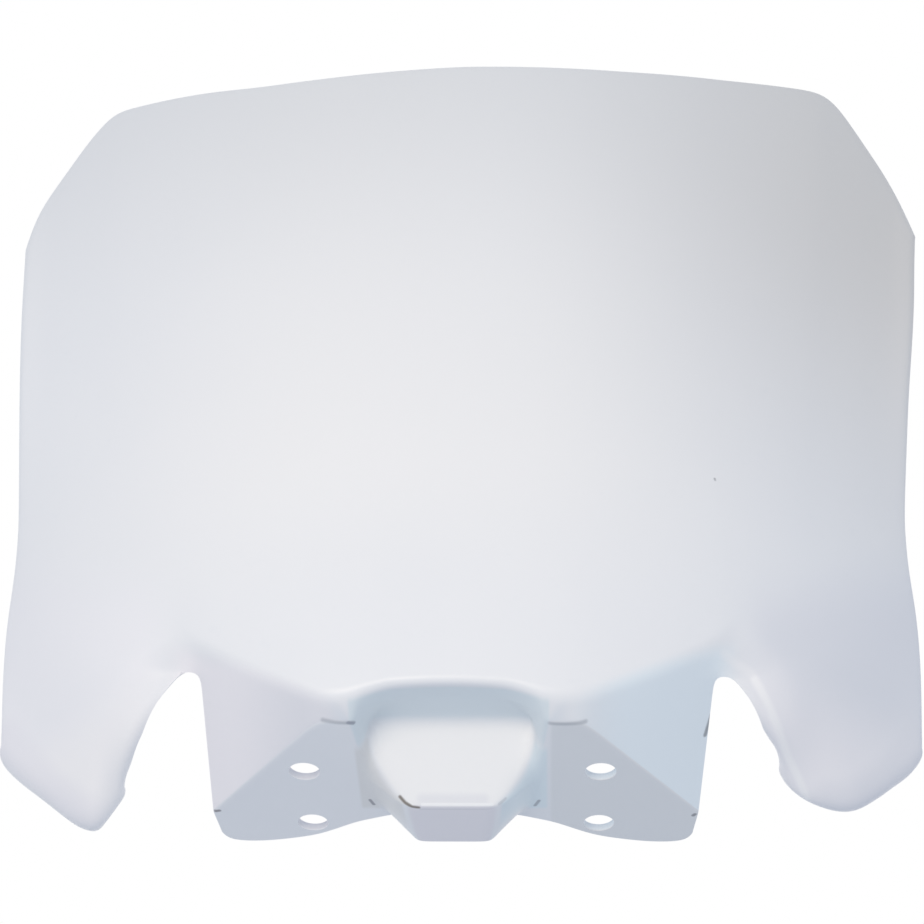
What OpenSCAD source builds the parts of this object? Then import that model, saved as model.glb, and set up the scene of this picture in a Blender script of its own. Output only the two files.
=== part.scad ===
// Front racing number board: one moulded shell with a bolted lower flange.
// Millimetres. Origin at the centre of the four bolt holes, flange underside at z = 0,
// +Z up the board, -Y to the front, the two sides mirrored across x = 0.

/* [Wall and bolts] */
// Wall thickness of the whole shell
wall = 2; // [1.6:0.1:2.4]
// Bolt spacing across the board
bolt_dx = 75; // [72:0.5:78]
// Bolt spacing front to back
bolt_dy = 25; // [23:0.5:26]
// Bolt hole diameter
bolt_d = 8; // [6:0.5:9]

/* [Panel] */
// Height of the straight part of the top edge
top_z = 227; // [210:1:250]
// How far back the top edge sits
top_y = -58; // [-70:1:-50]
// Half width where the top corners begin
top_half = 113; // [105:1:118]
// Half width of the panel at its widest
side_half = 134.2; // [130:0.2:140]
// Height where the top corners end
side_z = 177; // [172:1:185]
// Bend radius of the panel across its top
top_bend_r = 400; // [300:10:600]
// Bend radius of the panel across its lower edge
low_bend_r = 244; // [220:4:300]
// Outward crown of the panel halfway up
crown = 2.5; // [0:0.5:5]
// Reach of the rolled outer rim
rim_r = 2.4; // [2.2:0.1:3]
// Reach of the rolled inner edge of each wing
roll_r = 3.5; // [2.6:0.1:4]
// Reach of the rolled lower edge of each wing
edge_r = 4.5; // [3.5:0.1:5]

/* [Lower lip] */
// Front of the lip on the centreline
lip_y = -43.5; // [-48:0.5:-42]
// Height of the lip on the centreline
lip_z = 6; // [5:0.5:8]
// Half width where the lip is lowest
dip_half = 28; // [26:1:30]
// Height of the lip where it is lowest
dip_z = 3; // [2.5:0.1:4]
// Half width at the fork slot
slot_half = 66; // [64:0.5:68]
// Height of the lip at the fork slot
slot_z = 24; // [20:0.5:26]
// Half width of the soft crease at the outer edge
crease_half = 122.5; // [120:0.5:128]
// Height of the soft crease at the outer edge
crease_z = 70; // [65:1:75]
// Reach of the lip rounding on the centreline
lip_reach = 4; // [3.6:0.1:5]
// Reach of the crease rounding at the outer edge
crease_reach = 12; // [8:1:14]
// Distance from the lip rounding to the top of the fork slot
slot_gap = 5; // [4:0.5:6]
// Width of the fork slot across its rounded top
slot_width = 5.5; // [4:0.5:7]

/* [Wings] */
// Half width at the lowest point of each wing
tip_half = 93.7; // [91:0.1:97]
// Height of the lowest point of each wing
tip_z = -3.4; // [-5:0.1:-2]
// Half width at the outer lower corner of each wing
wing_half = 122.5; // [118:0.5:126]
// Height of the outer lower corner of each wing
wing_z = 20; // [17:0.5:23]

/* [Flange] */
// Front edge of the flange
flange_y = -35; // [-37:0.5:-34]
// Half width of the front edge
flange_front = 32.5; // [31:0.1:34]
// Half width of the outer corner
flange_half = 63.2; // [62:0.1:65]
// Front to back place of the outer corner
flange_out_y = 7; // [5:0.5:9]
// Half width of the rear corner
flange_rear = 61.5; // [59:0.5:62]
// Rear edge of the flange
flange_back = 22.1; // [20:0.1:22.5]
// Rounding where the cheeks meet the flange
fold_reach = 1; // [0.8:0.1:2]

/* [Nose] */
// Height of the recess above the flange underside
roof_z = 8; // [7:0.5:9]
// Front to back place where the recess ends
cap_y = -20; // [-22:0.5:-18]
// Depth of the nose below the flange underside
nose_z = -8.4; // [-10:0.2:-7]
// Front of the flat underside of the nose
under_y = -9; // [-11:0.5:-8]
// Rear end of the nose
nose_end = 7; // [5:0.5:8]
// Rounding of the nose across its corners
nose_reach = 3.4; // [2.6:0.1:3.8]
// Half width of the roof of the recess at its front
roof_half = 17.5; // [15:0.5:19]
// Half width of the recess at the flange
root_half = 23.2; // [22:0.2:24]
// Half width of the nose at the top of its front face
cap_half = 20; // [18:0.5:20.5]
// Half width of the nose at the bottom of its front face
under_half = 10.5; // [9:0.5:12]
// Half width of the nose underside at its rear end
end_half = 8; // [7:0.5:9]
// Half width where the nose leaves the rear edge of the flange
notch_half = 16.6; // [15:0.2:18]

/* [Hidden] */

// Rows from the top edge down: panel, lip rounding, then the folded lower part
panel_rows = 8;
lip_rows = 5;
slot_row = panel_rows + lip_rows + 1;
lower_rows = 17;
last_row = slot_row + lower_rows;
// Half columns from the centreline out
nose_cols = 7;
cheek_cols = 15;
wing_cols = 12;

// Share of the way across and down each column of the nose side, tall and splayed
side_tall = [[0, 0], [0.33, 0.07], [0.46, 0.26], [0.47, 0.70], [0.64, 0.92], [1, 1]];
side_splay = [[0, 0], [0.14, 0.05], [0.3, 0.2], [0.74, 0.82], [0.87, 0.95], [1, 1]];

function mix(a, b, t) = a + (b - a) * t;
function unit(v) = v / max(norm(v), 0.0001);
function clamp01(t) = min(1, max(0, t));
function smooth01(t) = let (c = clamp01(t)) c * c * (3 - 2 * c);
function bend(a, b, c, t) = a * (1 - t) * (1 - t) + b * 2 * t * (1 - t) + c * t * t;
function along(a, b, d) = a + unit(b - a) * min(d, norm(b - a) * 0.49);

// Lower lip and crease line
function lip_line(x) = lookup(x, [
    [0, lip_z], [dip_half * 0.5, lip_z - 0.4], [dip_half * 0.85, mix(lip_z, dip_z, 0.8)],
    [dip_half, dip_z], [dip_half * 1.2, dip_z + 1.1],
    [mix(dip_half, slot_half, 0.6), mix(dip_z, slot_z, 0.51)],
    [slot_half, slot_z], [mix(slot_half, crease_half, 0.49), mix(slot_z, crease_z, 0.5)],
    [crease_half, crease_z]]);
function lip_point(x) = [x, lip_y + x * x / (2 * low_bend_r), lip_line(x)];

// Top edge with its cut corners
function top_drop(t) = lookup(t, [[0, 0], [0.05, 0.025], [0.16, 0.11], [0.8, 0.69], [0.93, 0.82], [1, 1]]);
function top_point(x) =
    let (c = clamp01((x - top_half) / (side_half - top_half)))
    [x, top_y + x * x / (2 * top_bend_r) + 4 * c, top_z - (top_z - side_z) * top_drop(c)];
function crown_at(t) = 4 * crown * t * (1 - t);

// Flange outline: front edge, slanted fold, outer corner, rear edge, notch at the nose
function fold_point(f) =
    let (g = clamp01((f - 0.25) / 0.75))
    f < 0.25 ? [mix(root_half, flange_front, f / 0.25), flange_y, 0]
             : [mix(flange_front, flange_half, g), mix(flange_y, flange_out_y, g), 0];
function rear_point(f) = [
    mix(notch_half, flange_rear,
        lookup(f, [[0, 0], [0.25, 0.19], [0.5, 0.43], [0.75, 0.68], [0.875, 0.89], [1, 1]])),
    mix(nose_end, flange_back,
        lookup(f, [[0, 0], [0.25, 0.34], [0.5, 0.7], [0.75, 0.97], [0.875, 1], [1, 0.88]])), 0];

// Corner points of one column of the folded lower part
function nose_keys(h) =
    let (s = max(0, h - 2), in = min(h, 2) / 2, t = side_tall[s], w = side_splay[s])
    [[mix(roof_half * in, root_half, s / 5), flange_y, mix(roof_z, 0, smooth01(s / 5))],
     [mix(cap_half * in, root_half, t[0]), cap_y, mix(roof_z, 0, t[1])],
     [mix(under_half * in, root_half - 0.6, w[0]), under_y, mix(nose_z, 0, w[1])],
     [mix(mix(under_half, end_half, 0.6) * in, root_half - 1.6, w[0]), nose_end - 4.4, mix(nose_z, 0, w[1])],
     [mix(end_half * in, notch_half, w[0]), nose_end, mix(nose_z, 0, w[1])]];
function flange_keys(h) =
    let (f = (h - nose_cols) / (cheek_cols - nose_cols), a = fold_point(f), b = rear_point(f))
    [a, mix(a, b, 0.36), mix(a, b, 0.62), mix(a, b, 0.88), b];
function keys(h) = h <= nose_cols ? nose_keys(h) : flange_keys(h);

// Share of the way across the wing, with the columns closer together beside the fork slot
function wing_share(h) =
    let (v = (h - cheek_cols - 1) / (wing_cols - 1)) mix(pow(v, 1.5), v, v);

// Across place at the top edge of the column that ends at the fork slot
slot_top_x = 75;

// Across place of each column on the lip
function lip_x(h) = h <= nose_cols ? lookup(h, [[0, 0], [2, 14], [nose_cols, root_half]])
    : h <= cheek_cols ? mix(root_half, slot_half, pow((h - nose_cols) / (cheek_cols - nose_cols), 1.05))
    : mix(slot_half + slot_width, crease_half, wing_share(h));
function top_x(h) = h <= cheek_cols ? lip_x(h) * slot_top_x / slot_half
    : mix(slot_top_x + 1.1 * slot_width, side_half, lookup(wing_share(h),
        [[0, 0], [0.11, 0.22], [0.22, 0.42], [0.33, 0.58], [0.44, 0.66], [0.56, 0.74], [0.67, 0.82], [0.78, 0.9],
         [0.89, 0.96], [1, 1]]));

// Wing below the crease: middle and lower edge for its share of the width
mid_inner = [86.5, -21, 20.5];
mid_outer = [wing_half + 3.5, 3, 44];
function wing_mid(u) = mix(mid_inner, mid_outer, u);
function wing_end(u) = [
    mix(tip_half, wing_half, lookup(u,
        [[0, -0.18], [0.06, -0.12], [0.16, 0], [0.3, 0.17], [0.55, 0.46], [0.85, 0.82], [0.95, 0.95], [1, 1]])),
    lookup(u, [[0, 0.5], [0.16, 1.7], [0.55, 3.8], [0.85, 5], [1, 6]]),
    mix(tip_z, wing_z, lookup(u,
        [[0, 0.12], [0.06, 0.04], [0.16, 0], [0.3, 0.09], [0.55, 0.345], [0.85, 0.68], [0.95, 0.835], [1, 1]]))];
// Start of the wing under the crease, turning from the cheek to the wing beside the slot
function wing_toward(u, b) =
    b + mix(unit(fold_point(1) - b), unit(wing_mid(u) - b), smooth01(u / 0.34)) * 30;

function panel_part(h) =
    let (a = top_point(top_x(h)), b = lip_point(lip_x(h)),
         r = mix(lip_reach, crease_reach, clamp01((lip_x(h) - dip_half) / (crease_half - dip_half))),
         e = along(b, a, r))
    [for (j = [0:panel_rows]) mix(a, e, j / panel_rows) - [0, crown_at(j / panel_rows), 0]];
function lip_part(h, toward) =
    let (a = top_point(top_x(h)), b = lip_point(lip_x(h)),
         r = mix(lip_reach, crease_reach, clamp01((lip_x(h) - dip_half) / (crease_half - dip_half))),
         e = along(b, a, r), g = along(b, toward, r))
    [for (j = [1:lip_rows]) bend(e, b, g, j / lip_rows)];
function rounded(a, b, c, r) =
    let (p = along(b, a, r), q = along(b, c, r)) [for (j = [0:3]) bend(p, b, q, j / 3)];

function inner_column(h) =
    let (k = keys(h), b = lip_point(lip_x(h)), l = lip_part(h, k[0]), s = along(k[0], b, fold_reach),
         u = rounded(k[0], k[1], k[2], nose_reach * 1.2), w = rounded(k[1], k[2], k[3], nose_reach))
    concat(panel_part(h), l, [along(l[lip_rows - 1], s, slot_gap)],
        rounded(b, k[0], k[1], fold_reach), [mix(k[0], k[1], 0.5)],
        u, [mix(u[3], w[0], 0.35), mix(u[3], w[0], 0.7)], w, [k[3]], [k[4]]);

function wing_column(h) =
    let (u = wing_share(h), b = lip_point(lip_x(h)), m = wing_mid(u), w = wing_toward(u, b), l = lip_part(h, w),
         s = along(b, w, norm(l[lip_rows - 1] - b) + slot_gap), n = lower_rows - 3)
    concat(panel_part(h), l, [s], [for (j = [1:n]) bend(s, m, wing_end(u), j / n)]);

function column_count() = cheek_cols + 1 + wing_cols;
base = [for (h = [0:column_count() - 1]) h <= cheek_cols ? inner_column(h) : wing_column(h)];

wing_first = cheek_cols + 1;
wing_last = wing_first + wing_cols - 1;

// Neighbours across the sheet, open at the fork slot
function outward(h, j) = h == cheek_cols && j > slot_row ? h : min(wing_last, h + 1);
function inward(h, j) = h == wing_first && j > slot_row ? h : h - 1;
function across(h, j) = base[outward(h, j)][j]
    - (h == 0 ? [-base[1][j][0], base[1][j][1], base[1][j][2]] : base[inward(h, j)][j]);
function downward(h, j) = base[h][min(len(base[h]) - 1, j + 1)] - base[h][max(0, j - 1)];

// Rolled edges: a sheet point carried out from the core and curled away behind the face
function curl(h, j, a, b, r) =
    let (u = unit(across(h, j)), v = unit(downward(h, j)), n = unit(cross(v, u)), pol = min(88, norm([a, b])),
         e = unit(unit(u - v * (u * v)) * a + unit(v - u * (u * v)) * b))
    pol == 0 ? base[h][j] : base[h][j] + e * r * sin(pol) - n * r * (1 - cos(pol));

top_angles = [-70, -35];
outer_angles = [35, 70];
slot_angles = [-85, -55, -25];
wing_angles = [30, 60, 85];
top_rims = len(top_angles);
split = slot_row + top_rims;
core_end = last_row - len(wing_angles);
rows = last_row + top_rims + 1;
function wing_row(j) = min(j - top_rims, core_end);
function row_angle(j, wing) = j < top_rims ? top_angles[j]
    : wing && j - top_rims > core_end ? wing_angles[j - top_rims - core_end - 1] : 0;
function core_row(j, wing) = max(0, wing ? wing_row(j) : j - top_rims);
function sheet(h, j, a) =
    let (wing = h >= wing_first, b = row_angle(j, wing),
         r = j < top_rims || a > 0 ? rim_r : b > 0 && a == 0 ? edge_r : roll_r,
         fade = a < 0 ? smooth01((j - split) / 6) : 1)
    j <= split && a < 0 ? base[wing_first][core_row(j, false)] : curl(h, core_row(j, wing), a * fade, b, r);

half = concat([for (h = [0:cheek_cols]) [for (j = [0:rows - 1]) sheet(h, j, 0)]],
    [for (a = slot_angles) [for (j = [0:rows - 1]) sheet(wing_first, j, a)]],
    [for (h = [wing_first:wing_last]) [for (j = [0:rows - 1]) sheet(h, j, 0)]],
    [for (a = outer_angles) [for (j = [0:rows - 1]) sheet(wing_last, j, a)]]);
reach = len(half) - 1;
merge_to = wing_first + len(slot_angles);

// Face normals of the finished sheet, for its wall thickness
function next_out(h, j) = h == cheek_cols ? (j <= split ? merge_to : h) : min(reach, h + 1);
function next_in(h, j) = h == merge_to && j <= split ? cheek_cols
    : h == wing_first && j > split ? h : h - 1;
function inner_side(h, j) = h == 0 ? [-half[1][j][0], half[1][j][1], half[1][j][2]] : half[next_in(h, j)][j];
function face_normal(h, j) = unit(cross(half[h][min(rows - 1, j + 1)] - half[h][max(0, j - 1)],
    half[next_out(h, j)][j] - inner_side(h, j)));
back = [for (h = [0:reach]) [for (j = [0:rows - 1]) half[h][j] - face_normal(h, j) * wall]];

function mirrored(p, c) = c < 0 ? [-p[0], p[1], p[2]] : p;
cols = 2 * reach + 1;
front_points = [for (c = [-reach:reach], j = [0:rows - 1]) mirrored(half[abs(c)][j], c)];
back_points = [for (c = [-reach:reach], j = [0:rows - 1]) mirrored(c == 0 ? [0, back[0][j][1], back[0][j][2]]
    : back[abs(c)][j], c)];
lift = cols * rows;

// Point number, with the columns beside the slot merged above its top
function merged(h, j) = j <= split && h > cheek_cols && h < merge_to ? merge_to : h;
function at(c, j) = (sign(c) * merged(abs(c), j) + reach) * rows + j;
function open_cell(c, j) = let (h = min(abs(c), abs(c + 1))) h == cheek_cols && j >= split;
function clean(t) = t[0] != t[1] && t[1] != t[2] && t[0] != t[2];
quads = [for (c = [-reach:reach - 1], j = [0:rows - 2]) if (!open_cell(c, j))
    [at(c, j), at(c, j + 1), at(c + 1, j + 1), at(c + 1, j)]];
skin = [for (q = quads, t = [[q[0], q[2], q[1]], [q[0], q[3], q[2]]]) if (clean(t)) t];

// Edge of the sheet: top, outer sides, wing ends, slots and the flange
function run(cs, js) = [for (i = [0:len(cs) - 1]) at(cs[i], js[i])];
function steps(a, b) = [for (i = [a:(b >= a ? 1 : -1):b]) i];
function same(v, n) = [for (i = [1:n]) v];
down = steps(0, rows - 1);
up = steps(rows - 1, 0);
slot_down = steps(split, rows - 1);
slot_up = steps(rows - 1, split);
loop = concat(
    run(steps(-reach, reach), same(0, cols)),
    run(same(reach, rows), down),
    run(steps(reach, cheek_cols + 1), same(rows - 1, reach - cheek_cols)),
    run(same(cheek_cols + 1, len(slot_up)), slot_up),
    run(same(cheek_cols, len(slot_down)), slot_down),
    run(steps(cheek_cols, -cheek_cols), same(rows - 1, 2 * cheek_cols + 1)),
    run(same(-cheek_cols, len(slot_up)), slot_up),
    run(same(-cheek_cols - 1, len(slot_down)), slot_down),
    run(steps(-cheek_cols - 1, -reach), same(rows - 1, reach - cheek_cols)),
    run(same(-reach, rows), up));
edge_pairs = [for (i = [0:len(loop) - 1]) let (a = loop[i], b = loop[(i + 1) % len(loop)]) if (a != b) [a, b]];
edge_skin = [for (e = edge_pairs, t = [[e[0], e[0] + lift, e[1] + lift], [e[0], e[1] + lift, e[1]]]) t];

module shell() {
    polyhedron(
        points = concat(front_points, back_points),
        faces = concat(skin, [for (t = skin) [t[2] + lift, t[1] + lift, t[0] + lift]], edge_skin),
        convexity = 10);
}

module bolt_holes() {
    for (sx = [-1, 1], sy = [-1, 1]) {
        translate([sx * bolt_dx / 2, sy * bolt_dy / 2, -wall])
            cylinder(d = bolt_d, h = 3 * wall, $fn = 96);
    }
}

module number_board() {
    color([0.9, 0.91, 0.93])
    difference() {
        shell();
        bolt_holes();
    }
}

number_board();
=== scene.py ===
import math
import bpy
import numpy as np
from mathutils import Matrix, Vector


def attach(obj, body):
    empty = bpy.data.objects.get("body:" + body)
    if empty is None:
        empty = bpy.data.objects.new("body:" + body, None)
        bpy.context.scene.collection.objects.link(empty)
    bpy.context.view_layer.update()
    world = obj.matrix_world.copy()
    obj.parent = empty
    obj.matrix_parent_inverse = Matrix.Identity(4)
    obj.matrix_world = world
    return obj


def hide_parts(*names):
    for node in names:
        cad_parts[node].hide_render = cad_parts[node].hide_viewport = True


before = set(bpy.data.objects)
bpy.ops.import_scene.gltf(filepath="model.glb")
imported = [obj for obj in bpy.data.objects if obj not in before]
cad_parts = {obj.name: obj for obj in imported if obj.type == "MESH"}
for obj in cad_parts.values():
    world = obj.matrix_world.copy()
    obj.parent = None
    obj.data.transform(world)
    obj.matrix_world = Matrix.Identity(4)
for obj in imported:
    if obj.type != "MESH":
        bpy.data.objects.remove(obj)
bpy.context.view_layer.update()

MM = 0.001
A = np.array
LEFT, RIGHT = -1, 1

# The shell's sizes in millimetres: the solid's, with some brought nearer to the photographed piece
D = dict(
    # sheet and bolt holes
    wall=2.0, bolt_dx=75.0, bolt_dy=25.0, bolt_d=8.0,
    # panel: top edge, cut upper corners, bends, crown and the radius of the rolled rim
    top_z=227.0, top_y=-58.0, top_half=113.0, top_slot_half=75.0, corner_back=4.0,
    side_half=134.2, side_z=177.0, top_bend_r=400.0, low_bend_r=244.0, crown=2.5, rim_r=2.4,
    # lip under the panel, from the dip in the middle out to the crease
    lip_y=-43.5, lip_z=6.0, lip_flat=14.0, dip_half=28.0, dip_z=3.0, slot_z=24.0,
    crease_half=122.5, crease_z=70.0,
    # flange and its fold
    flange_y=-35.0, flange_front=32.5, flange_half=63.2, flange_out_y=7.0, fold_reach=1.0,
    # recess and nose
    roof_z=9.4, roof_reach=3.6, cap_y=-22.6, nose_z=-8.4, nose_reach=0.8, under_y=-9.0,
    nose_end=8.1, root_half=23.2, cap_half=20.5, under_half=10.5, end_half=8.7, notch_half=15.9)

# What differs from left to right: the two halves of the piece were not moulded quite alike
SLOT_HALF = {LEFT: 64.4, RIGHT: 67.2}
SLOT_WIDTH = {LEFT: 2.7, RIGHT: 2.9}
SLOT_GAP = {LEFT: 4.9, RIGHT: 4.5}
ROLL_R = {LEFT: 3.0, RIGHT: 3.2}
EDGE_R = {LEFT: 6.0, RIGHT: 4.5}
# Outline of the cut upper corners: share of the way out, then share of the way down
TOP_DROP = {
    LEFT: [[0, 0], [0.05, 0.015], [0.16, 0.08], [0.8, 0.585], [0.93, 0.755], [1, 1]],
    RIGHT: [[0, 0], [0.05, 0.01], [0.16, 0.04], [0.8, 0.56], [0.93, 0.74], [1, 1]]}
# Places that pull the curve of each wing: beside its slot, then at the outer edge
WING_MIDS = {LEFT: [88.1, -22.5, 8.2], RIGHT: [87.3, -22.5, 7.8]}
WING_MID_OUT = [126.0, 3, 44]
# Lower edge of each wing: share of the width, then x, y and z. The right one is worn blunter.
WING_ENDS = {
    LEFT: [[0, 87.4, 1.5, 1.3], [0.06, 88.8, 2, -0.1], [0.16, 93.2, 2.4, -4.8],
           [0.3, 99.1, 3, -2.5], [0.55, 107.6, 4, 5.5], [0.85, 115.9, 5, 13.9],
           [0.95, 120.0, 6, 18.1], [1, 121.8, 6, 21.0]],
    RIGHT: [[0, 84.9, -1, 6.2], [0.06, 86.7, 0, 4.2], [0.16, 91.9, 1, 1.5],
            [0.3, 102.6, 2, 0.4], [0.55, 110.8, 3.5, 7.0], [0.85, 117.0, 5, 13.5],
            [0.95, 120.6, 6, 16.9], [1, 122.3, 6, 20.4]]}
# How far each side leans in, by height
LEAN = {
    LEFT: [[60, 0], [85, 0.3], [120, 0.9], [150, 1.3], [175, 1.8], [190, -0.8], [205, -0.8],
           [215, 1.0], [230, 1.3]],
    RIGHT: [[60, 0.2], [85, 1.2], [120, 1.5], [150, 0.45], [175, 0.6], [190, -1.2], [230, -1.5]]}
# How far forward the top edge stands, by x, and how far down it hangs in the middle and at the ends
TOP_FORWARD = [[-135, 0.6], [-97, 1.0], [-84, 0.6], [-65, -1.0], [-46, -1.1], [-20, -0.6],
               [0, 0.1], [50, 0.1], [83, 1.2], [96, 2.2], [109, 3.2], [122, 3.0], [135, 2.0]]
SAG_MIDDLE, SAG_ENDS = 1.0, {LEFT: 2.5, RIGHT: 0.0}

# Forms that both halves share
# How the nose's columns run out to its root: share of the way out, then share of the way down
# for its upper edge, and up for its underside
TALL = [[0, 0.01], [0.26, 0.10], [0.36, 0.30], [0.40, 0.70], [0.60, 0.92], [1, 1]]
SPLAY = [[0, 0.03], [0.17, 0.12], [0.34, 0.27], [0.74, 0.81], [0.87, 0.95], [1, 1]]
# Rear edge of the flange from the nose out: share of the way, then x and y
REAR = [[0, 15.9, 8.1], [0.125, 20.6, 10.0], [0.25, 26.0, 11.9], [0.375, 31.2, 15.4],
        [0.5, 37.0, 18.8], [0.625, 43.6, 20.5], [0.75, 51.3, 22.1], [0.875, 60.6, 21.9],
        [1, 62.2, 17.5]]
# Front of the recess from the centreline out, one place a column: x and z
ROOF = [[0, 8.0], [6.5, 7.8], [12.5, 7.1], [15.6, 6.2], [18.4, 5.0], [20.8, 3.5], [22.6, 1.8],
        [23.6, 0]]
# How far the rounding of the lip reaches, by half width
LIP_REACH = [[0, 3.0], [28, 3.0], [66, 3.6], [71, 6.5], [80, 9.5], [122, 12]]
# Wing columns at the top edge: share at the lip, then share at the top
TOP_SHARE = [[0, 0], [0.11, 0.22], [0.22, 0.42], [0.33, 0.58], [0.44, 0.66], [0.56, 0.74],
             [0.67, 0.82], [0.78, 0.9], [0.89, 0.96], [1, 1]]
FRONT_SHARE = 0.25      # of the flange's columns, along its straight front
LIP_SPREAD = 1.05       # power that spaces the cheek's columns
TOP_SPREAD = 1.1        # of the slot's width, where it has run out at the top edge
TURN_START, TURN_SHARE = 0.3, 0.1   # how the wings' direction turns away from the flange
AIM_LENGTH = 30         # distance of the place that a wing sets out towards
BLEND_LIMIT = 0.49      # largest share of a side that a rounding takes

# Rows down the sheet and columns out from the centreline, before smoothing
PANEL_ROWS, LIP_ROWS, LOWER_ROWS, ROLL_ROWS = 8, 5, 19, 8
NOSE_COLS, CHEEK_COLS, WING_COLS = 7, 15, 12
FRONT_COLS = 2          # across the nose's flat front
ROUND_STEPS = 3
# Degrees by which extra rows and columns curl away behind the face
TOP_ANGLES, OUTER_ANGLES = [-70, -35], [35, 70]
SLOT_ANGLES, WING_ANGLES = [-85, -55, -25], [30, 60, 85]
CURL_LIMIT = 88.0
SLOT_ROW = PANEL_ROWS + LIP_ROWS + 1
LAST_ROW = SLOT_ROW + LOWER_ROWS
WING_ROWS = LOWER_ROWS - len(WING_ANGLES)
WING_FIRST = CHEEK_COLS + 1
WING_LAST = WING_FIRST + WING_COLS - 1
SPLIT = SLOT_ROW + len(TOP_ANGLES)          # from here down, cheek and wing are apart
CORE_END = LAST_ROW - len(WING_ANGLES)      # from here down, the wings curl away
ROWS = LAST_ROW + len(TOP_ANGLES) + 1
MERGE_TO = WING_FIRST + len(SLOT_ANGLES)    # above the slot, its curled columns are this one

SMOOTH_LEVELS = 2
SHARP_ANGLE = 42
SLOT_WALL = 0.3         # share of the wall left at the slots' apexes
HOLE_SIDES, HOLE_CUT = 96, 6.0


def mix(a, b, t):
    return a + (b - a) * t


def unit(v):
    return v / max(np.linalg.norm(v), 1e-4)


def clamp01(t):
    return min(1.0, max(0.0, t))


def smooth01(t):
    t = clamp01(t)
    return t * t * (3 - 2 * t)


def ramp(v, start, length):
    return smooth01((v - start) / length)


def bend(a, b, c, t):
    """A place on the quadratic curve from a to c that b pulls."""
    return a * (1 - t) ** 2 + b * 2 * t * (1 - t) + c * t * t


def along(a, b, d):
    return a + unit(b - a) * min(d, np.linalg.norm(b - a) * BLEND_LIMIT)


def look(x, table, column=1):
    return float(np.interp(x, [row[0] for row in table], [row[column] for row in table]))


def mirror(p):
    return A([-p[0], p[1], p[2]])


def lip_line(x):
    dz, sz, cz = D["dip_z"], D["slot_z"], D["crease_z"]
    dh, sh, ch = D["dip_half"], SLOT_HALF[SIDE], D["crease_half"]
    return look(x, [
        [0, D["lip_z"]], [dh * 0.5, D["lip_z"] - 0.4], [dh * 0.85, mix(D["lip_z"], dz, 0.8)],
        [dh, dz], [dh * 1.2, dz + 1.1], [mix(dh, sh, 0.6), mix(dz, sz, 0.51)], [sh, sz],
        [mix(sh, ch, 0.49), mix(sz, cz, 0.5)], [ch, cz]])


def lip_point(x):
    return A([x, D["lip_y"] + x * x / (2 * D["low_bend_r"]), lip_line(x)])


def top_point(x):
    c = clamp01((x - D["top_half"]) / (D["side_half"] - D["top_half"]))
    drop = look(c, TOP_DROP[SIDE])
    return A([x, D["top_y"] + x * x / (2 * D["top_bend_r"]) + D["corner_back"] * c,
              D["top_z"] - (D["top_z"] - D["side_z"]) * drop])


def fold_point(f):
    """The fold between the flange's front and the cheek, at a share of the way out."""
    if f < FRONT_SHARE:
        return A([mix(ROOF[-1][0], D["flange_front"], f / FRONT_SHARE), D["flange_y"], 0.0])
    g = clamp01((f - FRONT_SHARE) / (1 - FRONT_SHARE))
    return A([mix(D["flange_front"], D["flange_half"], g),
              mix(D["flange_y"], D["flange_out_y"], g), 0.0])


def rear_point(f):
    return A([look(f, REAR, 1), look(f, REAR, 2), 0.0])


def keys(h):
    """The five places that a nose or flange column runs through below the lip."""
    if h > NOSE_COLS:
        f = (h - NOSE_COLS) / (CHEEK_COLS - NOSE_COLS)
        a, b = fold_point(f), rear_point(f)
        return [a, mix(a, b, 0.36), mix(a, b, 0.62), mix(a, b, 0.88), b]
    s, i = max(0, h - FRONT_COLS), min(h, FRONT_COLS) / FRONT_COLS
    t, w = TALL[s], SPLAY[s]
    rh, nz, uh, eh = D["root_half"], D["nose_z"], D["under_half"], D["end_half"]
    return [A([ROOF[h][0], D["flange_y"], ROOF[h][1]]),
            A([mix(D["cap_half"] * i, rh, t[0]), D["cap_y"], mix(D["roof_z"], 0, t[1])]),
            A([mix(uh * i, rh - 0.6, w[0]), D["under_y"], mix(nz, 0, w[1])]),
            A([mix(mix(uh, eh, 0.6) * i, rh - 1.6, w[0]), D["nose_end"] - 4.4, mix(nz, 0, w[1])]),
            A([mix(eh * i, D["notch_half"], w[0]), D["nose_end"], mix(nz, 0, w[1])])]


def wing_share(h):
    """Share of the wing's width, with the columns closer together beside the slot."""
    v = (h - WING_FIRST) / (WING_COLS - 1)
    return mix(v ** 1.5, v, v)


def lip_x(h):
    if h <= NOSE_COLS:
        return look(h, [[0, 0], [FRONT_COLS, D["lip_flat"]], [NOSE_COLS, D["root_half"]]])
    if h <= CHEEK_COLS:
        share = (h - NOSE_COLS) / (CHEEK_COLS - NOSE_COLS)
        return mix(D["root_half"], SLOT_HALF[SIDE], share ** LIP_SPREAD)
    return mix(SLOT_HALF[SIDE] + SLOT_WIDTH[SIDE], D["crease_half"], wing_share(h))


def top_x(h):
    if h <= CHEEK_COLS:
        return lip_x(h) * D["top_slot_half"] / SLOT_HALF[SIDE]
    return mix(D["top_slot_half"] + TOP_SPREAD * SLOT_WIDTH[SIDE], D["side_half"],
               look(wing_share(h), TOP_SHARE))


def wing_mid(u):
    return mix(A(WING_MIDS[SIDE]), A(WING_MID_OUT), u)


def wing_end(u):
    return A([look(u, WING_ENDS[SIDE], i) for i in (1, 2, 3)])


def wing_toward(u, b):
    f = mix(TURN_START, 1.0, smooth01(u / TURN_SHARE))
    return b + mix(unit(fold_point(1) - b), unit(wing_mid(u) - b), f) * AIM_LENGTH


def panel_part(h):
    a, b = top_point(top_x(h)), lip_point(lip_x(h))
    e = along(b, a, look(lip_x(h), LIP_REACH))
    shares = [j / PANEL_ROWS for j in range(PANEL_ROWS + 1)]
    return [mix(a, e, t) - A([0, 4 * D["crown"] * t * (1 - t), 0]) for t in shares]


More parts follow.
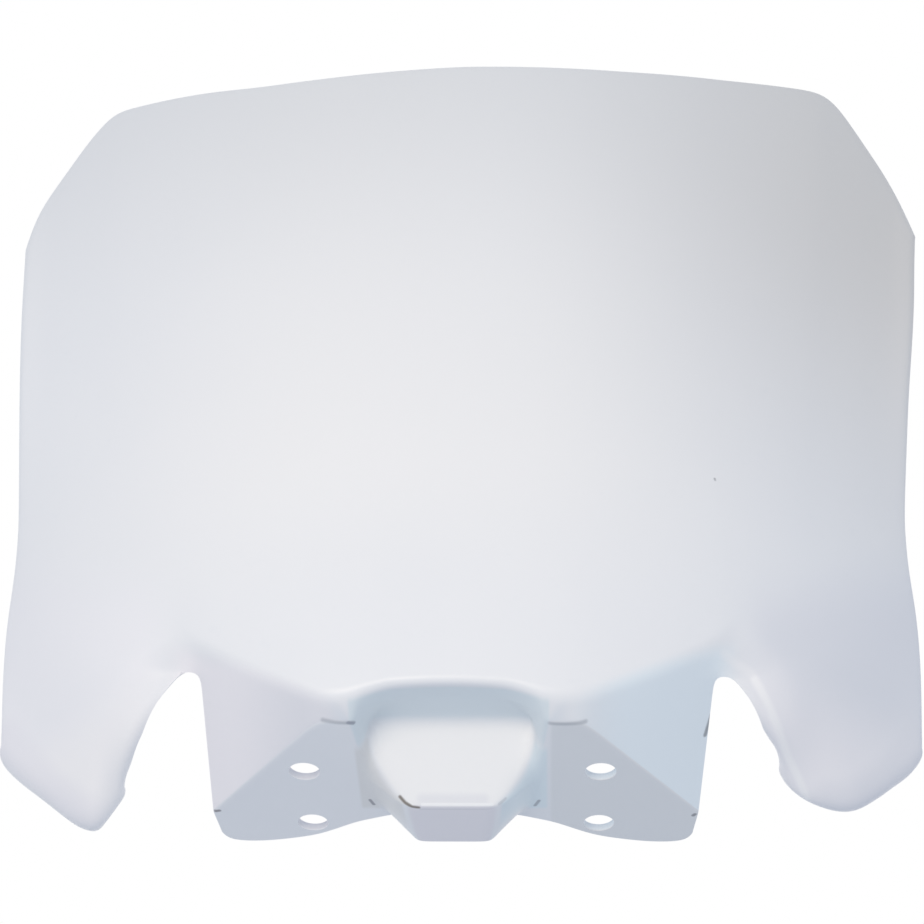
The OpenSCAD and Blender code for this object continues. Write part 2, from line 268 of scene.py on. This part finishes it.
def lip_part(h, toward):
    a, b, r = top_point(top_x(h)), lip_point(lip_x(h)), look(lip_x(h), LIP_REACH)
    e, g = along(b, a, r), along(b, toward, r)
    return [bend(e, b, g, j / LIP_ROWS) for j in range(1, LIP_ROWS + 1)]


def rounded(a, b, c, r):
    p, q = along(b, a, r), along(b, c, r)
    return [bend(p, b, q, j / ROUND_STEPS) for j in range(ROUND_STEPS + 1)]


def inner_column(h):
    """One column of the sheet from the top edge over the lip, the cheek and the flange or nose."""
    k, b, fr = keys(h), lip_point(lip_x(h)), D["fold_reach"]
    l = lip_part(h, k[0])
    g, f = along(l[-1], along(k[0], b, fr), SLOT_GAP[SIDE]), rounded(b, k[0], k[1], fr)
    u = rounded(k[0], k[1], k[2], D["roof_reach"])
    w = rounded(k[1], k[2], k[3], D["nose_reach"])
    return (panel_part(h) + l + [g, mix(g, f[0], 0.14), mix(g, f[0], 0.45)] + f
            + [mix(k[0], k[1], 0.5)] + u + [mix(u[3], w[0], 0.35), mix(u[3], w[0], 0.7)]
            + w + [k[3], k[4]])


def wing_column(h):
    """One column of the sheet from the top edge over the lip to a wing's lower edge."""
    u, b = wing_share(h), lip_point(lip_x(h))
    m, w, e = wing_mid(u), wing_toward(u, b), wing_end(u)
    l = lip_part(h, w)
    s = along(b, w, np.linalg.norm(l[-1] - b) + SLOT_GAP[SIDE])
    return panel_part(h) + l + [s] + [bend(s, m, e, j / WING_ROWS) for j in range(1, WING_ROWS + 1)]


def curl(h, j, a, b, r):
    """A sheet point carried out from the core and curled away behind the face."""
    if a == 0 and b == 0:
        return base[h][j]
    below_slot = j > SLOT_ROW
    out = h if h == CHEEK_COLS and below_slot else min(WING_LAST, h + 1)
    inn = h if h == WING_FIRST and below_slot else h - 1
    left = mirror(base[1][j]) if h == 0 else base[inn][j]
    u = unit(base[out][j] - left)
    v = unit(base[h][min(len(base[h]) - 1, j + 1)] - base[h][max(0, j - 1)])
    n = unit(np.cross(v, u))
    pol = math.radians(min(CURL_LIMIT, math.hypot(a, b)))
    e = unit(unit(u - v * u.dot(v)) * a + unit(v - u * u.dot(v)) * b)
    return base[h][j] + e * r * math.sin(pol) - n * r * (1 - math.cos(pol))


def sheet(h, j, a):
    """Row j of the whole sheet at column h, curled out by a degrees beside it."""
    wing, t = h >= WING_FIRST, len(TOP_ANGLES)
    if j <= SPLIT and a < 0:
        return base[WING_FIRST][max(0, j - t)]
    b = 0
    if j < t:
        b = TOP_ANGLES[j]
    elif wing and j - t > CORE_END:
        b = WING_ANGLES[j - t - CORE_END - 1]
    row = max(0, min(j - t, CORE_END) if wing else j - t)
    r = D["rim_r"] if j < t or a > 0 else mix(ROLL_R[SIDE], EDGE_R[SIDE], b / max(b - a, 1))
    return curl(h, row, a * (clamp01((j - SPLIT) / ROLL_ROWS) if a < 0 else 1), b, r)


halves = {}
for SIDE in (LEFT, RIGHT):
    base = [inner_column(h) if h <= CHEEK_COLS else wing_column(h) for h in range(WING_LAST + 1)]
    columns = [(h, 0) for h in range(CHEEK_COLS + 1)] \
        + [(WING_FIRST, a) for a in SLOT_ANGLES] \
        + [(h, 0) for h in range(WING_FIRST, WING_LAST + 1)] \
        + [(WING_LAST, a) for a in OUTER_ANGLES]
    halves[SIDE] = [[sheet(h, j, a) for j in range(ROWS)] for h, a in columns]
REACH = len(halves[RIGHT]) - 1


def warp(p):
    """The whole piece is uneven: its top edge falls away to the left, and its sides lean."""
    x, y, z = p
    half = RIGHT if x > 0 else LEFT
    z -= mix(SAG_MIDDLE, SAG_ENDS[half], ramp(abs(x), 0, 114)) * ramp(z, 60, 165)
    y -= look(x, TOP_FORWARD) * ramp(z, 150, 75)
    x -= math.copysign(look(z, LEAN[half]) * ramp(abs(x), 40, 85), x)
    return A([x, y, z])


def build_mesh():
    """The core sheet of both halves, and its points beside the slots' apexes."""
    points, faces, number = [], [], {}

    def at(c, j):
        h = abs(c)
        if j <= SPLIT and CHEEK_COLS < h < MERGE_TO:
            h = MERGE_TO
        key = (h if c >= 0 else -h, j)
        if key not in number:
            p = halves[RIGHT if c >= 0 else LEFT][h][j]
            number[key] = len(points)
            points.append(warp(mirror(p) if key[0] < 0 else p) * MM)
        return number[key]

    for c in range(-REACH, REACH):
        for j in range(ROWS - 1):
            if min(abs(c), abs(c + 1)) == CHEEK_COLS and j >= SPLIT:
                continue
            ring = []
            for q in (at(c, j), at(c, j + 1), at(c + 1, j + 1), at(c + 1, j)):
                if q not in ring:
                    ring.append(q)
            if len(ring) > 2:
                faces.append(ring)
    mesh = bpy.data.meshes.new("board_shell")
    mesh.from_pydata([tuple(p) for p in points], [], faces)
    mesh.update()
    apex = [n for (c, j), n in number.items()
            if CHEEK_COLS <= abs(c) <= MERGE_TO and SPLIT - 1 <= j <= SPLIT + 3]
    return mesh, apex


def add_object(name, mesh):
    obj = bpy.data.objects.new(name, mesh)
    bpy.context.scene.collection.objects.link(obj)
    return obj


def hole_cutter():
    points, faces, n = [], [], HOLE_SIDES
    for sx in (-1, 1):
        for sy in (-1, 1):
            k = len(points)
            for z in (-HOLE_CUT, HOLE_CUT):
                for i in range(n):
                    t = 2 * math.pi * i / n
                    x = sx * D["bolt_dx"] / 2 + D["bolt_d"] / 2 * math.cos(t)
                    y = sy * D["bolt_dy"] / 2 + D["bolt_d"] / 2 * math.sin(t)
                    points.append((x * MM, y * MM, z * MM))
            faces += [[k + i, k + (i + 1) % n, k + n + (i + 1) % n, k + n + i] for i in range(n)]
            faces.append([k + i for i in reversed(range(n))])
            faces.append([k + n + i for i in range(n)])
    mesh = bpy.data.meshes.new("bolt_holes")
    mesh.from_pydata(points, [], faces)
    mesh.update()
    return add_object("bolt_holes", mesh)


shell, apex = build_mesh()
board = add_object("board_shell", shell)
group = board.vertex_groups.new(name="wall")
group.add([v.index for v in shell.vertices], 1.0, "REPLACE")
group.add(apex, 0.0, "REPLACE")
sub = board.modifiers.new("smooth", "SUBSURF")
sub.levels = sub.render_levels = SMOOTH_LEVELS
sub.boundary_smooth = "PRESERVE_CORNERS"
thick = board.modifiers.new("wall", "SOLIDIFY")
thick.thickness = D["wall"] * MM
thick.offset = -1.0
thick.use_even_offset = False
thick.vertex_group = "wall"
thick.thickness_vertex_group = SLOT_WALL
cutter = hole_cutter()
cut = board.modifiers.new("holes", "BOOLEAN")
cut.operation = "DIFFERENCE"
cut.object = cutter
cut.solver = "EXACT"
done = bpy.data.meshes.new_from_object(board.evaluated_get(bpy.context.evaluated_depsgraph_get()))
board.modifiers.clear()
board.data = done
done.name = "board_shell"
bpy.data.objects.remove(cutter)
for poly in done.polygons:
    poly.use_smooth = True
done.set_sharp_from_angle(angle=math.radians(SHARP_ANGLE))


# Material
def nodes_of(name):
    mat = bpy.data.materials.new(name)
    mat.use_nodes = True
    return mat, mat.node_tree, mat.node_tree.nodes["Principled BSDF"]


plastic, tree, bsdf = nodes_of("white_plastic")
N, link = tree.nodes, tree.links.new


def value(op, a, b, clamp=False):
    n = N.new("ShaderNodeMath")
    n.operation = op
    n.use_clamp = clamp
    for i, v in enumerate((a, b)):
        if isinstance(v, (int, float)):
            n.inputs[i].default_value = v
        else:
            link(v, n.inputs[i])
    return n.outputs[0]


def blend_colour(fac, a, b):
    n = N.new("ShaderNodeMix")
    n.data_type = "RGBA"
    for i, v in ((0, fac), (6, a), (7, b)):
        if isinstance(v, (int, float)):
            n.inputs[i].default_value = v
        elif isinstance(v, tuple):
            n.inputs[i].default_value = (*v, 1)
        else:
            link(v, n.inputs[i])
    return n.outputs[2]


def noise(scale, detail, rough):
    n = N.new("ShaderNodeTexNoise")
    n.inputs["Scale"].default_value = scale
    n.inputs["Detail"].default_value = detail
    n.inputs["Roughness"].default_value = rough
    link(coords, n.inputs["Vector"])
    return n.outputs["Fac"]


def span(v, a, b, c=0.0, d=1.0):
    """Smoothly from c to d as v goes from a to b."""
    n = N.new("ShaderNodeMapRange")
    n.interpolation_type = "SMOOTHSTEP"
    for i, x in enumerate((a, b, c, d)):
        n.inputs[i + 1].default_value = x
    link(v, n.inputs[0])
    return n.outputs[0]


def fade(v, a, b):
    return span(v, a, b, 1.0, 0.0)


def product(*parts):
    out = parts[0]
    for part in parts[1:]:
        out = value("MULTIPLY", out, part)
    return out


def vector(op, a, b):
    n = N.new("ShaderNodeVectorMath")
    n.operation = op
    for i, v in enumerate((a, b)):
        if isinstance(v, Vector):
            n.inputs[i].default_value = v
        elif op == "SCALE" and i:
            link(v, n.inputs["Scale"])
        else:
            link(v, n.inputs[i])
    return n.outputs["Value" if op in ("DOT_PRODUCT", "DISTANCE") else "Vector"]


def stroke(points, r_in, r_out):
    """1 along a line through places in millimetres, fading to 0 at its outer radius."""
    best = None
    for p, q in zip(points[:-1], points[1:]):
        p, d = Vector(p) * MM, (Vector(q) - Vector(p)) * MM
        rel = vector("SUBTRACT", coords, p)
        t = value("MULTIPLY", vector("DOT_PRODUCT", rel, d / d.dot(d)), 1.0, True)
        gap = vector("DISTANCE", rel, vector("SCALE", d, t))
        best = gap if best is None else value("MINIMUM", best, gap)
    return fade(best, r_in * MM, r_out * MM)


# Places on the board in metres, and which half they lie in
coords = N.new("ShaderNodeTexCoord").outputs["Object"]
split = N.new("ShaderNodeSeparateXYZ")
link(coords, split.inputs[0])
X, Y, Z = split.outputs
side = value("ABSOLUTE", X, 0.0)
to_right, to_left = span(X, 0.0, 0.004), fade(X, -0.004, 0.0)
FLANGE_TOP = (0.0001, 0.0004)       # heights between which the flat flange ends
off_flange, on_flange = span(Z, *FLANGE_TOP), fade(Z, *FLANGE_TOP)

# The plastic's own tone: a slow mottle and a faint grain
cloud = noise(14.0, 3.0, 0.55)
fine = noise(160.0, 3.0, 0.6)
tone = blend_colour(span(cloud, 0.35, 0.65), (0.858, 0.868, 0.892), (0.876, 0.883, 0.903))
tone = blend_colour(span(fine, 0.62, 0.80, 0.0, 0.25), tone, (0.80, 0.82, 0.86))

# Painted light and shade on the panel: the right side painted darker towards the top, the middle
# painted lightest
middle = product(span(Z, 0.015, 0.08), span(X, -0.13, -0.03), fade(X, 0.02, 0.10))
tone = blend_colour(middle, tone, (0.92, 0.915, 0.915))
painted_shade_upper_right = product(span(X, 0.0, 0.14), span(Z, 0.03, 0.21))
tone = blend_colour(painted_shade_upper_right, tone, (0.658, 0.636, 0.615))
# Painted shade: the panel darker towards its top edge
tone = blend_colour(span(Z, 0.12, 0.23, 0.0, 0.45), tone, (0.785, 0.785, 0.785))

# Wings, below a slanting line beside the lip: painted light and shade, lighter towards their tips,
# the left one painted lightest
under = value("SUBTRACT", value("ADD", value("MULTIPLY", side, 0.55), -0.0124), Z)
wing = product(span(under, -0.022, 0.003), span(side, 0.068, 0.082))
tone = blend_colour(
    product(wing, to_left), tone,
    blend_colour(span(Z, 0.006, 0.022), (0.955, 0.94, 0.945), (0.905, 0.90, 0.925)))
tone = blend_colour(
    product(wing, to_right), tone,
    blend_colour(span(Z, 0.008, 0.03), (0.905, 0.89, 0.915), (0.813, 0.82, 0.86)))

# Cheeks: painted light and shade, blue shade on the right, grey shade to lighter violet on the left
cheek = product(span(under, -0.001, 0.003), off_flange, fade(side, 0.066, 0.074),
                span(side, 0.023, 0.025))
tone = blend_colour(product(cheek, to_right, span(side, 0.026, 0.045)), tone, (0.865, 0.93, 0.97))
tone = blend_colour(
    product(cheek, to_left), tone,
    blend_colour(span(side, 0.032, 0.058), (0.80, 0.80, 0.84), (0.93, 0.905, 0.93)))

# Painted shade in the recess above the nose, and in the corners beside it
corner = product(span(under, -0.0005, 0.0015), off_flange, fade(Y, -0.034, -0.030),
                 span(side, 0.0225, 0.0245), fade(side, 0.0250, 0.0305))
tone = blend_colour(product(corner, 0.75), tone, (0.76, 0.80, 0.85))
roof = product(span(Y, -0.0415, -0.0395), fade(Y, -0.0262, -0.0205), fade(side, 0.024, 0.025),
               off_flange, fade(Z, 0.010, 0.011))
tone = blend_colour(roof, tone, (0.77, 0.835, 0.87))

# Nose: a painted light front that narrows as it goes down, painted shade on its flanks and
# underside
drop = value("MAXIMUM", value("SUBTRACT", 5.6, value("MULTIPLY", Z, 1000.0)), 0.0)
narrowing = value("MULTIPLY", value("POWER", drop, 1.77), 0.000101)
inside = value("ADD", value("SUBTRACT", side, 0.021), narrowing)
behind = product(span(Y, -0.0250, -0.0205), fade(Y, 0.004, 0.006), fade(side, 0.0235, 0.0245),
                 fade(Z, 0.012, 0.014))
cap = product(behind, fade(Y, -0.0088, -0.0082), fade(inside, -0.0016, 0.0008))
flank = product(behind, span(inside, -0.0006, 0.0012), span(Z, -0.0076, -0.007))
tone = blend_colour(cap, tone, (0.96, 0.955, 0.95))
tone = blend_colour(product(flank, to_left), tone, (0.79, 0.79, 0.79))
tone = blend_colour(product(flank, to_right), tone, (0.78, 0.86, 0.90))
tone = blend_colour(fade(Z, -0.0080, -0.0076), tone, (0.83, 0.81, 0.845))

# Flange, with painted shade that makes it darker on the right
plate = product(on_flange, span(Y, -0.036, -0.034), span(side, 0.0245, 0.0255),
                fade(side, 0.066, 0.067))
tone = blend_colour(product(plate, to_right), tone, (0.81, 0.82, 0.835))

# Marks along lines: painted shade and shadow in gaps and folds, painted highlights on rounded
# edges, and a speck and burrs that the moulding and its use have left. Colour, strength, inner and
# outer radius, and the places that each runs through, in millimetres
MARKS = [
    # painted shade: dark lines along the front of the flange, in its fold
    ((0.42, 0.44, 0.48), 0.6, 0.10, 1.1, [(-30.8, -35.4, 0.3), (-28.0, -34.8, 0.0),
                                          (-23.6, -34.2, 0.2)]),
    ((0.34, 0.36, 0.42), 0.8, 0.2, 0.9, [(-24.6, -34.4, 0.2), (-23.4, -33.6, 0.6)]),
    ((0.42, 0.44, 0.48), 0.6, 0.10, 1.1, [(24.8, -34.2, 0.2), (28.5, -34.1, 0.0),
                                          (33.4, -34.4, 0.5)]),
    # speck on the panel
    ((0.30, 0.30, 0.32), 0.8, 0.15, 0.6, [(69.0, -40.2, 73.4), (69.1, -40.2, 73.0)]),
    # painted shadow in the slit, a painted shade band, a painted highlight line and a painted shade
    # line at the foot of the nose's front
    ((0.20, 0.17, 0.14), 0.9, 0.15, 0.75, [(-13.1, -10.3, -6.1), (-11.8, -9.5, -7.3),
                                           (-10.0, -8.7, -8.1), (-8.4, -8.5, -8.2)]),
    ((0.85, 0.85, 0.88), 0.7, 0.2, 2.4, [(-7.5, -10.2, -6.7), (8.0, -10.2, -6.7)]),
    ((0.99, 0.99, 0.99), 1.0, 0.25, 0.6, [(-7.4, -9.3, -7.7), (10.2, -9.3, -7.7)]),
    ((0.52, 0.53, 0.56), 0.3, 0.1, 0.5, [(-8.0, -7.8, -8.3), (10.6, -7.8, -8.3)]),
    # painted shade: short dark marks in small gaps beside the nose and at its foot
    ((0.28, 0.28, 0.32), 0.8, 0.2, 0.7, [(-21.7, 1.2, 0), (-20.9, 3.3, 0)]),
    ((0.32, 0.34, 0.38), 0.7, 0.2, 0.7, [(21.9, 1.4, 0), (20.9, 3.7, 0)]),
    ((0.50, 0.52, 0.56), 0.5, 0.2, 0.7, [(13.6, -9.9, -6.4), (12.0, -9.2, -7.5)]),
    # painted shade on the right cheek's rear edge, and burr at the flange's corners
    ((0.30, 0.32, 0.34), 0.85, 0.25, 0.9, [(65.8, -17.0, 14.5), (64.3, -12.6, 11.0)]),
    ((0.26, 0.24, 0.26), 0.85, 0.2, 0.8, [(-62.6, 6.9, 0.1), (-61.6, 6.6, 0)]),
    ((0.26, 0.26, 0.28), 0.85, 0.2, 0.8, [(62.3, 8.0, 0.1), (61.9, 8.6, 0)]),
    # painted highlight along the right wing's slot edge
    ((0.97, 0.96, 0.96), 0.4, 0.3, 2.0, [(68.9, -31.0, 23.0), (71.6, -28.1, 22.3),
                                         (75.7, -25.9, 20.8)]),
    ((0.98, 0.97, 0.97), 0.85, 0.3, 1.8, [(76.6, -25.3, 19.3), (78.1, -23.8, 16.8),
                                          (81.6, -18.9, 11.0), (85.5, -7.9, 7.0),
                                          (88.9, -1.3, 4.0), (90.9, 3.1, 1.9)]),
    # painted shade on the rolled bevels along the lower edges of the left and the right wing
    ((0.82, 0.81, 0.86), 0.6, 0.5, 9.0, [(-97.0, 3.0, -3.0), (-107.6, 4.0, 5.5),
                                         (-115.9, 5.0, 13.9), (-122.5, 6.0, 21.5)]),
    ((0.78, 0.785, 0.83), 0.7, 0.5, 8.0, [(97.0, 2.0, 0.5), (102.6, 2.0, 0.4), (110.8, 3.5, 7.0),
                                          (117.0, 5.0, 13.5), (122.8, 6.0, 21.0)]),
]
for shade, strength, r_in, r_out, points in MARKS:
    tone = blend_colour(product(stroke(points, r_in, r_out), strength), tone, shade)
link(tone, bsdf.inputs["Base Color"])

# Semi-gloss, with a slight waviness of the surface
link(span(cloud, 0.3, 0.7, 0.34, 0.42), bsdf.inputs["Roughness"])
bump = N.new("ShaderNodeBump")
bump.inputs["Strength"].default_value = 0.05
bump.inputs["Distance"].default_value = 0.0006
link(noise(90.0, 2.0, 0.5), bump.inputs["Height"])
link(bump.outputs[0], bsdf.inputs["Normal"])
bsdf.inputs["IOR"].default_value = 1.46
done.materials.clear()
done.materials.append(plastic)

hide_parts("number_board")
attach(board, "root")

# Floor, far below the mounted board
FLOOR_HALF, FLOOR_Z = 4, -0.5
floor_mesh = bpy.data.meshes.new("floor")
floor_mesh.from_pydata([(x * FLOOR_HALF, y * FLOOR_HALF, FLOOR_Z)
                        for x, y in ((-1, -1), (1, -1), (1, 1), (-1, 1))], [], [[0, 1, 2, 3]])
floor = add_object("floor", floor_mesh)
pale, _, floor_bsdf = nodes_of("pale_floor")
floor_bsdf.inputs["Base Color"].default_value = (0.85, 0.86, 0.88, 1)
floor_bsdf.inputs["Roughness"].default_value = 0.9
floor_mesh.materials.append(pale)

# World: white to the camera and in reflections, a soft cool fill on the object
world = bpy.data.worlds.new("studio")
bpy.context.scene.world = world
world.use_nodes = True
sky, join = world.node_tree.nodes, world.node_tree.links.new
fill = sky["Background"]
fill.inputs["Color"].default_value = (0.81, 0.885, 1.0, 1)
fill.inputs["Strength"].default_value = 0.70
white = sky.new("ShaderNodeBackground")
white.inputs["Color"].default_value = (1, 1, 1, 1)
white.inputs["Strength"].default_value = 1.0
path = sky.new("ShaderNodeLightPath")
shows_white = path.outputs["Is Camera Ray"]
for ray in ("Is Transmission Ray", "Is Glossy Ray"):
    either = sky.new("ShaderNodeMath")
    either.operation = "MAXIMUM"
    join(shows_white, either.inputs[0])
    join(path.outputs[ray], either.inputs[1])
    shows_white = either.outputs[0]
pick = sky.new("ShaderNodeMixShader")
join(shows_white, pick.inputs[0])
join(fill.outputs[0], pick.inputs[1])
join(white.outputs[0], pick.inputs[2])
join(pick.outputs[0], sky["World Output"].inputs["Surface"])

# Two round lamps in front of the board, both aimed at its lower middle
LAMP_AIM, LAMP_SIZE = Vector((0, -0.04, 0.04)), 0.22
for name, place, power, colour in (("key", (-0.111, -0.562, -0.093), 0.96, (1.0, 0.85, 0.66)),
                                   ("low", (-0.101, -0.515, -0.218), 0.22, (0.92, 0.95, 1.0))):
    lamp = bpy.data.lights.new(name, "AREA")
    lamp.shape = "DISK"
    lamp.size = LAMP_SIZE
    lamp.energy = power
    lamp.color = colour
    lamp_object = add_object(name, lamp)
    lamp_object.location = place
    lamp_object.rotation_mode = "QUATERNION"
    lamp_object.rotation_quaternion = (LAMP_AIM - Vector(place)).to_track_quat("-Z", "Y")

# Camera at the photograph's view, looking up at the board from below its front
CAMERA_PLACE = (0.0223, -0.4402, -0.2676)
PITCH, YAW, ROLL = math.radians(40.92), math.radians(-2.95), math.radians(1.64)
cam = bpy.data.cameras.new("camera")
cam.lens = 76.87
cam.sensor_width = 36
cam.clip_start, cam.clip_end = 0.01, 20
camera = add_object("camera", cam)
forward = Vector((math.sin(YAW) * math.cos(PITCH), math.cos(YAW) * math.cos(PITCH),
                  math.sin(PITCH)))
right = Vector((math.cos(YAW), -math.sin(YAW), 0))
up = right.cross(forward)
across = math.cos(ROLL) * right + math.sin(ROLL) * up
upward = -math.sin(ROLL) * right + math.cos(ROLL) * up
axes = Matrix((across, upward, -forward)).transposed().to_4x4()
camera.matrix_world = Matrix.Translation(CAMERA_PLACE) @ axes
bpy.context.scene.camera = camera
bpy.context.scene.view_settings.view_transform = "Standard"
